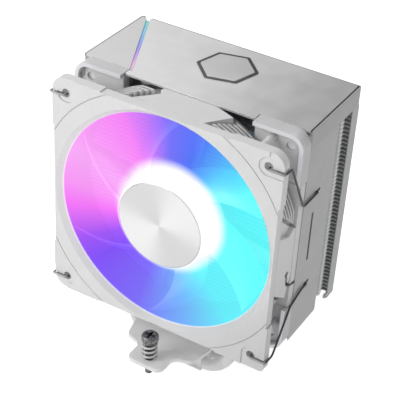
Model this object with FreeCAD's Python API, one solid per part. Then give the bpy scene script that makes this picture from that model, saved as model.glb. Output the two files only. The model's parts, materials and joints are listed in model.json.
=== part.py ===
import FreeCAD, Part
import math
import os

V = FreeCAD.Vector
os.makedirs("parts", exist_ok=True)

# Tower cooler for a processor, in mm.
# Origin: middle of the contact face. +Z is up, +Y points from the fan to the fins,
# +X is to the right for someone who looks at the front of the fan.

# Fan, size 120. Depths in the fan are measured back from its front face.
FAN_SIDE = 120.0
FAN_DEPTH = 25.0
FAN_FRONT = -37.5
FAN_Z = 95.0
FAN_HOLE = 52.5
FAN_HOLE_R = 2.15
FAN_CORNER_R = 7.0
TIGHT_CORNER_R = 2.5
FLANGE_DEPTH = 4.9
OPENING_R = 56.3
MOUTH_R = 58.8
MOUTH_DEPTH = 2.9
BARREL_R = 57.8
EAR_DEPTH = (20.2, 21.7)
PAD_FROM = 34.5
PAD_RIM = 2.0
PAD_RIM_FRONT = 17.5
BLOCK_TOP = 59.4

# Fan motor and impeller, radii about the fan axis and depths.
CAP_R = 22.3
CAP_DEPTH = 0.8
HUB_FRONT_R = 23.4
HUB_REAR_R = 27.0
HUB_END = 14.5
BLADES = 6
BLADE_TIP_R = 54.7
CUP_R = 20.9
SHAFT_R = 1.5
BUSH_R = 3.4
RUNNING_GAP = 0.04
BASE_DISC_R = 26.0
BASE_DISC_DEPTH = (21.2, 24.6)
STRUT_DEPTH = (19.6, 24.6)
CABLE_R = 0.8
CABLE_RUN = [(15.8, -11.9), (16.5, -17.5), (19.0, -20.5), (24.9, -21.7)]

# Fin tower.
TOWER_X = 60.0
TOWER_FRONT = -12.5
TOWER_BACK = 37.5
FIN_COUNT = 49
FIN_PITCH = 2.2
FIN_SHEET = 0.4
FIN_LOWEST = 39.0
FIN_SEAM = 0.05
BAY_FRONT = 16.0
BAY_BACK = 30.4
BAY_DEEP = 3.0
STRIP_BACK = -1.5

# Heat pipes.
PIPE_R = 3.0
PIPE_Z = 3.5
PIPE_LEG_X = 31.0
PIPE_SLANT = 3.5
PIPE_BEND = 14.0
PIPE_BASE_Y = (-14.0, -4.67, 4.67, 14.0)
PIPE_TOWER_Y = (-2.5, 7.5, 17.5, 27.5)
PIPE_KNEE_Z = 34.8
PIPE_END_Z = 147.0
SOLDER_GAP = 0.02

# Base, crossbar and spring screws.
BASE_HALF_X = 17.0
BASE_HALF_Y = 19.0
BASE_TOP = 15.5
BAR_SHEET = 2.0
BAR_TOP = BASE_TOP + BAR_SHEET
SCREW_Y = 41.5
SCREW_SHANK_R = 1.95
SCREW_NECK_R = 1.5
SCREW_TIP_Z = 8.2
RETAINER_R = 3.6
SCREW_SHOULDER_R = 2.4
SCREW_SHOULDER_Z = 22.2
SCREW_HEAD_R = 4.3
SCREW_HEAD_Z = (29.3, 32.3)
WASHER_R = 4.05
WASHER_SHEET = 0.6
SPRING_R = 3.4
SPRING_WIRE_R = 0.6
SPRING_TURNS = 3.5

# Top cover.
COVER_BOTTOM = 145.05
COVER_TOP = 155.0
COVER_WALL = 1.5
PLATE_SHEET = 1.1
PLATE_EDGE_X = 58.6
TONGUE_X = 34.0
TONGUE_FRONT = -17.1
STRIP_FRONT_END = V(-33.7, -12.1, 0)
STRIP_BACK_END = V(-54.8, 34.4, 0)
STRIP_WIDTH = 1.3
GROOVE_WIDTH = 1.8
BADGE_CENTRE = V(1.5, 15.3, 0)
BADGE_R = 15.0

# Fan clips, bent from spring wire.
WIRE_R = 0.5
CLIP_AXIS = (57.8, -1.5)
CLIP_SIDE_X = 60.7
CLIP_FACE_Y = -38.05
CLIP_TOP_Z = FAN_Z + 51.5
CLIP_LOW_Z = FAN_Z - 53.5
LEG_HIGH_FIN = 35
LEG_LOW_FIN = 11


# ---------------------------------------------------------------- general helpers

def export(node, *solids):
    """Write one node. Several solids go in side by side."""
    shape = solids[0] if len(solids) == 1 else Part.makeCompound(list(solids))
    shape.exportStep(f"parts/{node}.step")


def box(x0, x1, y0, y1, z0, z1):
    return Part.makeBox(x1 - x0, y1 - y0, z1 - z0, V(x0, y0, z0))


def post(radius, x, y, z0, z1):
    """A round bar along Z."""
    return Part.makeCylinder(radius, z1 - z0, V(x, y, z0))


def prism(outline, z0, z1):
    """A closed outline in the XY plane, pulled up from z0 to z1."""
    wire = outline.copy()
    wire.translate(V(0, 0, z0))
    return Part.Face(wire).extrude(V(0, 0, z1 - z0))


def rounded_path(points, radii, closed=False):
    """Straight lines through the points, with a round at each corner."""
    count = len(points)
    if not isinstance(radii, (list, tuple)):
        radii = [radii] * count
    arrive, leave, rounds = list(points), list(points), [None] * count
    for i in range(count):
        is_end = not closed and i in (0, count - 1)
        if is_end or radii[i] <= 0:
            continue
        back = (points[i - 1] - points[i]).normalize()
        ahead = (points[(i + 1) % count] - points[i]).normalize()
        half = back.getAngle(ahead) / 2
        reach = radii[i] / math.tan(half)
        arrive[i] = points[i] + back * reach
        leave[i] = points[i] + ahead * reach
        inward = (back + ahead).normalize()
        middle = points[i] + inward * (radii[i] / math.sin(half) - radii[i])
        rounds[i] = Part.Arc(arrive[i], middle, leave[i]).toShape()
    edges = []
    for i in range(count):
        if rounds[i]:
            edges.append(rounds[i])
        if i == count - 1 and not closed:
            break
        target = arrive[(i + 1) % count]
        if leave[i].distanceToPoint(target) > 1e-4:
            edges.append(Part.makeLine(leave[i], target))
    return Part.Wire(edges)


def flat_outline(pairs, radii=0):
    """A closed outline in the XY plane from (x, y) pairs."""
    return rounded_path([V(x, y, 0) for x, y in pairs], radii, closed=True)


def rod(path, radius):
    """A round bar that follows a path."""
    edge = path.Edges[0]
    start = edge.valueAt(edge.FirstParameter)
    ahead = edge.tangentAt(edge.FirstParameter)
    ring = Part.Wire(Part.makeCircle(radius, start, ahead))
    return path.makePipeShell([ring], True, True)


def turned(profile, x=0.0, y=0.0):
    """A turned part about a vertical axis, from (radius, z) pairs."""
    points = [V(x + r, y, z) for r, z in profile]
    face = Part.Face(Part.makePolygon(points + points[:1]))
    return face.revolve(V(x, y, 0), V(0, 0, 1), 360)


def joined(solids):
    """Fuse a list of solids into one clean solid."""
    return solids[0].multiFuse(solids[1:]).removeSplitter()


def mirrored(shape):
    """The same shape on the other side of the X = 0 plane."""
    return shape.mirror(V(0, 0, 0), V(1, 0, 0))


# ---------------------------------------------------------------- helpers about the fan axis

def fan_disc(radius, depth0, depth1, x=0.0, z=0.0):
    """A round bar along the fan axis, x and z counted from that axis."""
    start = V(x, FAN_FRONT + depth0, FAN_Z + z)
    return Part.makeCylinder(radius, depth1 - depth0, start, V(0, 1, 0))


def fan_tube(outer, inner, depth0, depth1):
    return fan_disc(outer, depth0, depth1).cut(fan_disc(inner, depth0, depth1))


def fan_point(x, depth, z):
    return V(x, FAN_FRONT + depth, FAN_Z + z)


def fan_box(x0, x1, depth0, depth1, z0, z1):
    """A box with x and z counted from the fan axis."""
    return box(x0, x1, FAN_FRONT + depth0, FAN_FRONT + depth1, FAN_Z + z0, FAN_Z + z1)


def fan_turned(profile):
    """A turned part about the fan axis, from (radius, depth) pairs."""
    points = [V(r, FAN_FRONT + d, FAN_Z) for r, d in profile]
    face = Part.Face(Part.makePolygon(points + points[:1]))
    return face.revolve(V(0, 0, FAN_Z), V(0, 1, 0), 360)


def fan_turn(shape, degrees):
    """A copy of the shape, turned about the fan axis (towards +Z from +X)."""
    copy = shape.copy()
    copy.rotate(V(0, 0, FAN_Z), V(0, -1, 0), degrees)
    return copy


def fan_square(side, depth0, depth1, corner_r=FAN_CORNER_R):
    """A block with a square face and rounded corners, centred on the fan axis."""
    half = side / 2
    block = fan_box(-half, half, depth0, depth1, -half, half)
    along_axis = [e for e in block.Edges if abs(e.tangentAt(e.FirstParameter).y) > 0.99]
    return block.makeFillet(corner_r, along_axis)


def fan_prism(pairs, z0, z1, grow=0.0):
    """An outline of (x, depth) pairs, pulled along Z, with z counted from the fan axis."""
    points = [V(x, FAN_FRONT + d, FAN_Z + z0) for x, d in pairs]
    wire = Part.makePolygon(points + points[:1])
    if grow:
        wire = wire.makeOffset2D(grow, join=2)
    return Part.Face(wire).extrude(V(0, 0, z1 - z0))


def four_sides(shape):
    return [fan_turn(shape, 90 * k) for k in range(4)]


# ---------------------------------------------------------------- fan frame

SIDE_BLOCK = [(-24.5, 4.0), (17.6, 4.0), (17.6, 4.9), (25.7, 16.1),
              (15.0, 20.2), (-12.0, 20.2), (-13.0, 18.0), (-24.0, 5.5)]


def front_flange():
    """Square front plate, set back along the middle of each side, with one tight corner."""
    plate = fan_square(FAN_SIDE, 0, FLANGE_DEPTH)
    side = FAN_SIDE / 6
    lower_right = fan_square(side, 0, FLANGE_DEPTH, TIGHT_CORNER_R)
    lower_right.translate(V((FAN_SIDE - side) / 2, 0, (side - FAN_SIDE) / 2))
    set_back = fan_box(-33.5, 33.5, -1, FLANGE_DEPTH + 1, 59.3, 61)
    return joined([plate, lower_right]).cut(Part.makeCompound(four_sides(set_back)))


def cooling_ridges():
    """Thin rings round the barrel that show between the front plate and the rear ears."""
    first, step, thick, count = 6.3, 2.05, 0.9, 6
    limit = fan_box(-59.0, 59.0, 0, FAN_DEPTH, -59.0, 59.0)
    gaps = Part.makeCompound(four_sides(fan_prism(SIDE_BLOCK, 40, 61, grow=1.6)))
    rings = []
    for k in range(count):
        depth = first + step * k
        rings.append(fan_tube(63.0, BARREL_R - 0.5, depth, depth + thick))
    return [ring.common(limit).cut(gaps) for ring in rings]


def side_blocks():
    """Raised block on each side, lower at the end that the air swirls away from."""
    block = fan_prism(SIDE_BLOCK, 48, BLOCK_TOP)
    low_end = [(-27, FLANGE_DEPTH), (-13.9, FLANGE_DEPTH), (-13.7, 6.1), (-10.5, 13.9),
               (-13, 18.2), (-13, 20.2), (-27, 20.2)]
    return four_sides(block.cut(fan_prism(low_end, BLOCK_TOP - 2.0, BLOCK_TOP + 1)))


def rear_bars():
    """Straight edges behind the side blocks; the top is left open for the cover's tongue."""
    end = PAD_FROM - 0.2
    bar = fan_box(-end, end, EAR_DEPTH[0], FAN_DEPTH, 46, 59.6)
    return [fan_turn(bar, turn) for turn in (90, 180, 270)]


def rear_ears():
    """Corner plates that carry the soft pads, each with a slim post to the front plate."""
    side = FAN_SIDE - 2 * PAD_RIM - 0.1
    plate = fan_square(side, *EAR_DEPTH, FAN_CORNER_R - PAD_RIM)
    corners = Part.makeCompound(four_sides(fan_box(PAD_FROM, 61, 0, FAN_DEPTH, PAD_FROM, 61)))
    brace = fan_disc(1.6, FLANGE_DEPTH - 1, EAR_DEPTH[0] + 0.5, 44, 55)
    mark = fan_box(-56.7, -55.9, EAR_DEPTH[0] - 1, EAR_DEPTH[0] + 0.4, 51.4, 57.1)
    return [plate.common(corners).cut(mark)] + four_sides(brace)


def corner_recesses():
    """Shallow seat round each screw hole, open to the outer corner."""
    seat = fan_disc(4.7, -1, 0.4, FAN_HOLE, FAN_HOLE)
    open_side = fan_box(FAN_HOLE, 61, -1, 0.4, FAN_HOLE - 4.7, 61)
    return four_sides(seat.fuse(open_side))


def clip_channels():
    """Slots in the front face, from each hole to the side edge, for the clip ends."""
    half, deep = WIRE_R + 0.15, 2.3
    slots = []
    for z in (CLIP_TOP_Z - FAN_Z, CLIP_LOW_Z - FAN_Z):
        slot = fan_box(FAN_HOLE - half, 61, -1, deep, z - half, z + half)
        slots += [slot, mirrored(slot)]
    return slots


def struts():
    """Four sloping arms behind the impeller. The first one is the cable channel."""
    arms = []
    for k, width in enumerate((8.0, 4.5, 4.5, 4.5)):
        arm = fan_box(23, OPENING_R + 1, *STRUT_DEPTH, -width / 2, width / 2)
        arms.append(fan_turn(arm, -12 + 90 * k))
    return arms


def motor_base():
    """Dish behind the motor, with the bearing tube and rests for the circuit board."""
    disc = fan_disc(BASE_DISC_R, *BASE_DISC_DEPTH)
    rim = fan_tube(BASE_DISC_R, BASE_DISC_R - 1.4, 17.0, BASE_DISC_DEPTH[0] + 0.5)
    tube = fan_tube(4.8, BUSH_R + SOLDER_GAP, 6.6, BASE_DISC_DEPTH[0] + 0.5)
    rests = [fan_turn(fan_disc(1.3, 18.8, 21.5, 21.0), 45 + 90 * k) for k in range(4)]
    return [disc, rim, tube] + rests


def cable_way():
    """Groove along the cable arm, a round exit and the bent slot down the right side."""
    groove = fan_turn(fan_box(20, 53, 21.4, 26, -2.2, 2.2), -12)
    inner_way = fan_box(48.4, 58.6, 14.2, 24.6, -13.9, -8.9)
    floor_x, half = BLOCK_TOP - 2.6, CABLE_R + 0.1
    depth, z = CABLE_RUN[0]
    exit_hole = Part.makeCylinder(1.6, 6, fan_point(floor_x, depth, z), V(1, 0, 0))
    run = CABLE_RUN + [(26.5, -22.0)]
    slot = [exit_hole]
    for (depth0, z0), (depth1, z1) in zip(run, run[1:]):
        start, end = fan_point(floor_x, depth0, z0), fan_point(floor_x, depth1, z1)
        aside = V(1, 0, 0).cross(end - start).normalize() * half
        side_wire = Part.makePolygon([start + aside, end + aside, end - aside, start - aside,
                                      start + aside])
        slot.append(Part.Face(side_wire).extrude(V(6, 0, 0)))
        slot.append(Part.makeCylinder(half, 6, start, V(1, 0, 0)))
    return [groove, inner_way] + slot


def fan_frame():
    solids = [front_flange(), fan_disc(BARREL_R, 0, FAN_DEPTH)]
    solids += cooling_ridges()
    solids += rear_ears() + side_blocks() + rear_bars()
    flare = (MOUTH_R - OPENING_R) / MOUTH_DEPTH
    mouth = fan_turned([(0, -1), (MOUTH_R + flare, -1), (OPENING_R, MOUTH_DEPTH), (0, MOUTH_DEPTH)])
    shell = joined(solids).cut(fan_disc(OPENING_R, -1, FAN_DEPTH + 1)).cut(mouth)
    body = joined([shell] + struts() + motor_base())
    holes = [fan_disc(FAN_HOLE_R, -1, EAR_DEPTH[1] + 1, x, z)
             for x in (-FAN_HOLE, FAN_HOLE) for z in (-FAN_HOLE, FAN_HOLE)]
    groove = fan_tube(66.7, 66.3, -1, 0.3)
    cuts = holes + [groove] + corner_recesses() + clip_channels() + cable_way()
    return body.cut(Part.makeCompound(cuts))


def corner_pads():
    """Four soft corners behind the ears, each with a rim that wraps round the ear."""
    block = fan_square(FAN_SIDE, PAD_RIM_FRONT, FAN_DEPTH)
    seat = fan_square(FAN_SIDE - 2 * PAD_RIM, 0, EAR_DEPTH[1], FAN_CORNER_R - PAD_RIM)
    corner = block.cut(seat).common(fan_box(PAD_FROM, 61, 0, 26, PAD_FROM, 61))
    return four_sides(corner.cut(fan_disc(BARREL_R + 0.2, 0, 26)))


# ---------------------------------------------------------------- impeller and motor

def blade_section(radius):
    """Flat closed outline of the blade, square to the radius through its middle."""
    far = (radius - 22.0) / (BLADE_TIP_R - 22.0)
    lead_angle = math.radians(110.0 - 26.0 * far)
    chord_angle = math.radians(33.0 - 34.0 * far + 14.0 * far * far)
    lead_depth = 2.6 + 0.8 * far
    trail_depth = 14.2 + 1.2 * far
    thick = 1.6 - 0.6 * far
    bulge = 1.3
    steps = 6
    middle = lead_angle + chord_angle / 2
    outward = V(math.cos(middle), 0, math.sin(middle))
    sideways = V(-math.sin(middle), 0, math.cos(middle))
    centre = V(0, FAN_FRONT, FAN_Z) + outward * radius
    slope = math.atan2(trail_depth - lead_depth, radius * chord_angle)
    front, rear = [], []
    for step in range(steps + 1):
        u = step / steps
        along = radius * chord_angle * (u - 0.5)
        depth = lead_depth + (trail_depth - lead_depth) * u - bulge * 4 * u * (1 - u)
        half = thick / 2 * (0.4 + 0.6 * math.sin(math.pi * u))
        offset = sideways * (half * math.sin(slope)) - V(0, half * math.cos(slope), 0)
        point = centre + sideways * along + V(0, depth, 0)
        front.append(point + offset)
        rear.insert(0, point - offset)
    edges = []
    for points, next_point in ((front, rear[0]), (rear, front[0])):
        curve = Part.BSplineCurve()
        curve.interpolate(points)
        edges += [curve.toShape(), Part.makeLine(points[-1], next_point)]
    return Part.Wire(edges)


def impeller():
    """Hub shell with all its blades, moulded in one piece."""
    shell = fan_turned([(0, CAP_DEPTH), (CAP_R + 0.1, CAP_DEPTH), (CAP_R + 0.1, 0.2),
                        (HUB_FRONT_R - 0.3, 0.2), (HUB_FRONT_R, 0.5),
                        (25.6, 7.5), (HUB_REAR_R, HUB_END), (HUB_REAR_R - 1.4, HUB_END),
                        (24.0, 9.0), (CUP_R, 7.5), (CUP_R, 2.4), (0, 2.4)])
    inside = fan_turned([(0, 1.0), (23.0, 1.0), (25.0, 7.5), (26.4, HUB_END), (26.4, 20), (0, 20)])
    radii = (22.6, 28.0, 35.0, 42.0, 49.0, BLADE_TIP_R)
    blade = Part.makeLoft([blade_section(r) for r in radii], True, False).cut(inside)
    blades = [fan_turn(blade, 360.0 / BLADES * k) for k in range(BLADES)]
    return joined([shell] + blades)


def hub_cap():
    """Thin metal disc on the front of the hub."""
    return fan_turned([(0, 0), (CAP_R - 0.4, 0), (CAP_R, 0.3), (CAP_R, CAP_DEPTH), (0, CAP_DEPTH)])


def rotor_cup():
    """Deep-drawn steel cup inside the hub, with the boss that grips the shaft."""
    return fan_turned([(SHAFT_R, 2.45), (CUP_R - 0.02, 2.45), (CUP_R - 0.02, 15.5),
                       (CUP_R - 0.85, 15.5), (CUP_R - 0.85, 3.25), (3.5, 3.25),
                       (3.5, 6.0), (SHAFT_R, 6.0)])


def shaft():
    """Shaft with a groove near its rear end for the retaining ring."""
    r, groove_r = SHAFT_R, 1.2
    return fan_turned([(0, 2.6), (r, 2.6), (r, 19.4), (groove_r, 19.4), (groove_r, 19.9),
                       (r, 19.9), (r, 20.4), (r - 0.3, 20.7), (0, 20.7)])


def stator_core():
    """Four-armed core of stacked sheets, with a curved shoe on each arm."""
    ring = fan_tube(7.2, 4.82, 7.5, 13.5)
    arm = fan_box(6.5, 16.2, 7.5, 13.5, -1.5, 1.5)
    shoe = fan_tube(16.9, 15.2, 7.5, 13.5).common(fan_box(8, 18, 7, 14, -8.4, 8.4))
    return joined([ring] + four_sides(arm) + four_sides(shoe))


def stator_coils():
    """One winding on each arm of the core."""
    outer = fan_box(7.9, 14.6, 5.7, 15.3, -3.6, 3.6)
    outer = outer.makeFillet(1.2, [e for e in outer.Edges
                                   if abs(e.tangentAt(e.FirstParameter).x) > 0.99])
    inner = fan_box(7, 16, 7.45, 13.55, -1.55, 1.55)
    return four_sides(outer.cut(inner))


def fan_leds():
    """Ring of light-emitting blocks on the front of the fan's circuit board."""
    led = fan_box(21.7, 24.1, 16.7, 17.6, -1.4, 1.4)
    return [fan_turn(led, 30 * k + 15) for k in range(12)]


def fan_cable():
    """Round cable: along the channel arm, out of the exit hole and down the bent slot."""
    depth, turn = 23.2, math.radians(-12)
    points = [fan_point(r * math.cos(turn), depth, r * math.sin(turn)) for r in (24.0, 50.0)]
    points.append(fan_point(55.6, 21.0, CABLE_RUN[0][1]))
    points += [fan_point(BLOCK_TOP - 1.4, depth, z) for depth, z in CABLE_RUN]
    return rod(rounded_path(points, [0, 2.0, 1.5, 1.2, 1.2, 1.2, 0]), CABLE_R)


def build_fan():
    export("fan_frame", fan_frame())
    export("corner_pads", *corner_pads())
    export("impeller", impeller())
    export("hub_cap", hub_cap())
    export("rotor_cup", rotor_cup())
    export("magnet_ring", fan_tube(CUP_R - 0.87, 17.6, 5.0, 15.3))
    export("shaft", shaft())
    export("bearing_bush", fan_tube(BUSH_R, SHAFT_R + RUNNING_GAP, 6.7, 19.0))
    export("shaft_ring", fan_tube(2.6, 1.22, 19.42, 19.88))
    export("stator_core", stator_core())
    export("stator_coils", *stator_coils())
    export("fan_board", fan_tube(BASE_DISC_R - 1.6, 4.9, 17.6, 18.8))
    export("fan_leds", *fan_leds())
    export("motor_label", fan_disc(22.0, BASE_DISC_DEPTH[1], BASE_DISC_DEPTH[1] + 0.2))
    export("fan_cable", fan_cable())


# ---------------------------------------------------------------- heat pipes

def pipe_points(index):
    """Corner points of one heat pipe, from its left end to its right end."""
    base_y, tower_y = PIPE_BASE_Y[index], PIPE_TOWER_Y[index]
    left, right = -PIPE_LEG_X, PIPE_LEG_X
    return [V(left, tower_y, PIPE_END_Z), V(left, tower_y, PIPE_KNEE_Z),
            V(left, base_y + PIPE_SLANT, PIPE_Z), V(right, base_y - PIPE_SLANT, PIPE_Z),
            V(right, tower_y, PIPE_KNEE_Z), V(right, tower_y, PIPE_END_Z)]


def pipe_tip(x, y):
    """Pinched end of a heat pipe."""
    return turned([(0, PIPE_END_Z - 1), (PIPE_R, PIPE_END_Z - 1), (PIPE_R, PIPE_END_Z),
                   (1.4, PIPE_END_Z + 2.2), (1.0, PIPE_END_Z + 3.8), (0, PIPE_END_Z + 3.8)], x, y)


def heat_pipe(index):
    points = pipe_points(index)
    path = rounded_path(points, [0, 16.0, PIPE_BEND, PIPE_BEND, 16.0, 0])
    tips = [pipe_tip(end.x, end.y) for end in (points[0], points[-1])]
    return joined([rod(path, PIPE_R)] + tips)


def pipe_room(index):
    """Space that a pipe takes in the base, a hair wider than the pipe."""
    path = rounded_path(pipe_points(index), [0, 16.0, PIPE_BEND, PIPE_BEND, 16.0, 0])
    return rod(path, PIPE_R + SOLDER_GAP)


# ---------------------------------------------------------------- fins

def leg_level(fin_index):
    """Height of the open gap just above one fin."""
    return FIN_LOWEST + fin_index * FIN_PITCH + (FIN_SHEET + FIN_PITCH) / 2


def fin_outline():
    """Plan of a fin: a rectangle with an open bay on each side."""
    deep = TOWER_X - BAY_DEEP
    right = [(TOWER_X, TOWER_FRONT), (TOWER_X, BAY_FRONT), (deep, BAY_FRONT),
             (deep, BAY_BACK), (TOWER_X, BAY_BACK), (TOWER_X, TOWER_BACK)]
    left = [(-x, y) for x, y in reversed(right)]
    return flat_outline(right + left)


def fin_tab(y0, y1, top, length, outer_x=TOWER_X):
    """Folded edge that closes the side of the tower below a fin."""
    return box(outer_x - FIN_SHEET, outer_x, y0, y1, top - length, top + FIN_SHEET / 2)


def plain_fin():
    """A fin at its lowest position, with short folded edges and pipe holes."""
    z = FIN_LOWEST
    plate = prism(fin_outline(), z, z + FIN_SHEET)
    short = FIN_PITCH - FIN_SHEET - FIN_SEAM
    bay_x = TOWER_X - BAY_DEEP
    tabs = [fin_tab(TOWER_FRONT, BAY_FRONT, z, short), fin_tab(BAY_BACK, TOWER_BACK, z, short),
            fin_tab(16.4, 20.4, z, short, bay_x), fin_tab(26.4, 28.7, z, short, bay_x)]
    holes = [post(PIPE_R + SOLDER_GAP, side * PIPE_LEG_X, y, z - 1, z + 1)
             for side in (-1, 1) for y in PIPE_TOWER_Y]
    fin = joined([plate] + tabs + [mirrored(tab) for tab in tabs])
    return fin.cut(Part.makeCompound(holes))


def lowest_fin(fin):
    """The lowest fin has longer folded edges at the sides, a front skirt and a small eye."""
    front_tab = fin_tab(TOWER_FRONT, STRIP_BACK, FIN_LOWEST, FIN_LOWEST - 37.4)
    back_tab = fin_tab(BAY_BACK, TOWER_BACK, FIN_LOWEST, FIN_LOWEST - 34.9)
    arm = box(TOWER_X - 1.2, TOWER_X, BAY_BACK - 1.9, BAY_BACK + 1, 36.7, 38.1)
    eye_centre = V(TOWER_X - 1.2, BAY_BACK - 1.9, 37.3)
    eye = Part.makeCylinder(1.3, 1.2, eye_centre, V(1, 0, 0))
    hole = Part.makeCylinder(0.6, 3, eye_centre - V(1, 0, 0), V(1, 0, 0))
    skirt = box(-TOWER_X + 0.2, TOWER_X - 0.2, TOWER_FRONT, TOWER_FRONT + FIN_SHEET,
                38.4, FIN_LOWEST + FIN_SHEET / 2)
    extras = [front_tab, back_tab, arm, eye]
    fin = joined([fin, skirt] + extras + [mirrored(extra) for extra in extras])
    return fin.cut(hole).cut(mirrored(hole))


def clip_room():
    """Space in the fins for one fan clip: a channel, a window and two notches."""
    x, y = CLIP_AXIS
    high, low = leg_level(LEG_HIGH_FIN), leg_level(LEG_LOW_FIN)
    channel = box(x - 1.2, TOWER_X - FIN_SHEET, y - 0.9, y + 0.9, low - 0.8, high + 0.8)
    window = box(x - 1.2, TOWER_X + 1, y - 0.9, y + 0.9, 79.4, 106.6)
    notches = [box(x - 1.2, TOWER_X + 1, y - 0.95, y + 4.9, z - 0.85, z + 0.85)
               for z in (high, low)]
    return Part.makeCompound([channel, window] + notches)


def fin_stack():
    """All fins, from the lowest to the highest."""
    base_fin = plain_fin()
    room = clip_room()
    both_rooms = Part.makeCompound([room, mirrored(room)])
    fins = []
    for index in range(FIN_COUNT):
        fin = base_fin.copy() if index else lowest_fin(base_fin)
        fin.translate(V(0, 0, FIN_PITCH * index))
        if LEG_LOW_FIN <= index <= LEG_HIGH_FIN + 1:
            fin = fin.cut(both_rooms)
        fins += fin.Solids
    return fins


# ---------------------------------------------------------------- base and crossbar

BASE_SCREWS = [(14.2, -10.9), (-14.2, -7.7), (-14.2, 10.9), (14.2, 7.7)]
BAR_SCREWS = [(-12.5, 0.0), (12.5, 0.0)]


def base_screw(x, y):
    """Small countersunk-deep screw that pulls the lower plate to the block."""
    return turned([(0, 1.4), (0.98, 1.4), (0.98, 11.5), (1.9, 11.5), (1.9, 13.0), (0, 13.0)], x, y)


def bar_screw(x, y):
    """Pan-head screw that holds the crossbar on the base block."""
    screw = turned([(0, 8.2), (1.2, 8.2), (1.48, 8.6), (1.48, BAR_TOP), (2.8, BAR_TOP),
                    (2.8, BAR_TOP + 1.0), (2.2, BAR_TOP + 1.6), (0, BAR_TOP + 1.6)], x, y)
    return screw.cut(cross_recess(x, y, BAR_TOP + 1.6, 3.0, 0.7, 1.0))


def cross_recess(x, y, top, length, width, deep):
    """Cross-shaped driver recess."""
    one = box(x - length / 2, x + length / 2, y - width / 2, y + width / 2, top - deep, top + 1)
    two = box(x - width / 2, x + width / 2, y - length / 2, y + length / 2, top - deep, top + 1)
    return one.fuse(two)


def base_plate(rooms):
    """Lower plate that touches the processor, with bevelled lower edges."""
    plate = box(-BASE_HALF_X, BASE_HALF_X, -BASE_HALF_Y, BASE_HALF_Y, 0, PIPE_Z)
    plate = plate.makeChamfer(0.6, [e for e in plate.Edges if e.BoundBox.ZMax < 1e-4])
    holes = [post(1.0, x, y, 1.2, PIPE_Z + 1) for x, y in BASE_SCREWS]
    return plate.cut(Part.makeCompound(rooms + holes))


def base_block(rooms):
    """Upper half of the base, grooved for the pipes and stepped at its upper edges."""
    block = box(-BASE_HALF_X, BASE_HALF_X, -BASE_HALF_Y, BASE_HALF_Y, PIPE_Z, BASE_TOP)
    block = block.makeChamfer(1.5, [e for e in block.Edges if e.BoundBox.ZMin > BASE_TOP - 1e-4])
    holes = [post(1.0, x, y, PIPE_Z - 1, 12) for x, y in BASE_SCREWS]
    holes += [post(2.0, x, y, 11.5, BASE_TOP + 1) for x, y in BASE_SCREWS]
    holes += [post(1.5, x, y, 8.0, BASE_TOP + 1) for x, y in BAR_SCREWS]
    return block.cut(Part.makeCompound(rooms + holes))


def crossbar():
    """Sprung mounting bar: narrow ends for the screws and a wide middle over the base."""
    quarter = [(10.0, -47.5), (10.0, -35.2), (19.0, -32.6), (22.0, -20.5)]
    rounds = [4.0, 4.0, 4.0, 8.0]
    right = quarter + [(x, -y) for x, y in reversed(quarter)]
    radii = rounds + rounds[::-1]
    outline = right + [(-x, y) for x, y in reversed(right)]
    plate = prism(flat_outline(outline, radii + radii[::-1]), BASE_TOP, BAR_TOP)
    plate = plate.makeChamfer(0.3, [e for e in plate.Edges if e.BoundBox.ZMin > BAR_TOP - 1e-4])
    holes = [post(SCREW_SHANK_R + 0.35, 0, y, 0, 30) for y in (-SCREW_Y, SCREW_Y)]
    holes += [post(1.6, x, y, 0, 30) for x, y in BAR_SCREWS]
    return plate.cut(Part.makeCompound(holes))


# ---------------------------------------------------------------- spring screws

def spring_screw(y):
    """Captive screw: knurled head with a cross recess, a thick shoulder, a threaded tip."""
    r, neck = SCREW_SHANK_R, SCREW_NECK_R
    neck_low = BASE_TOP - 0.7
    head_low, head_top = SCREW_HEAD_Z
    ridges, pitch, groove = 8, 0.7, 0.3
    profile = [(0, SCREW_TIP_Z), (r - 0.5, SCREW_TIP_Z), (r, SCREW_TIP_Z + 0.5)]
    for k in range(ridges):
        z = SCREW_TIP_Z + 1.0 + pitch * k
        profile += [(r, z), (r - groove, z + 0.2), (r, z + 0.4)]
    profile += [(r, neck_low), (neck, neck_low), (neck, BASE_TOP), (r, BASE_TOP),
                (r, SCREW_SHOULDER_Z), (SCREW_SHOULDER_R, SCREW_SHOULDER_Z),
                (SCREW_SHOULDER_R, head_low), (SCREW_HEAD_R - 0.4, head_low),
                (SCREW_HEAD_R, head_low + 0.4),
                (SCREW_HEAD_R, head_top - 0.7), (SCREW_HEAD_R - 0.7, head_top), (0, head_top)]
    screw = turned(profile, 0, y)
    flute_count, flute_r, reach = 24, 0.42, SCREW_HEAD_R + 0.25
    flutes = []
    for k in range(flute_count):
        turn = 2 * math.pi * k / flute_count
        flutes.append(post(flute_r, reach * math.cos(turn), y + reach * math.sin(turn),
                           head_low - 1, head_top + 1))
    recess = cross_recess(0, y, head_top, 5.2, 1.3, 1.8)
    return screw.cut(Part.makeCompound(flutes)).cut(recess)


def spring(y):
    """Compression spring between the crossbar and the washer."""
    washer_low = SCREW_HEAD_Z[0] - WASHER_SHEET
    free = 0.03
    height = washer_low - BAR_TOP - 2 * (SPRING_WIRE_R + free)
    helix = Part.makeLongHelix(height / SPRING_TURNS, height, SPRING_R)
    helix.translate(V(0, y, BAR_TOP + SPRING_WIRE_R + free))
    return rod(Part.Wire(helix.Edges), SPRING_WIRE_R)


def spring_washer(y):
    low, high = SCREW_HEAD_Z[0] - WASHER_SHEET, SCREW_HEAD_Z[0]
    hole = post(SCREW_SHOULDER_R + RUNNING_GAP, 0, y, low, high)
    return post(WASHER_R, 0, y, low, high).cut(hole)


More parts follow.
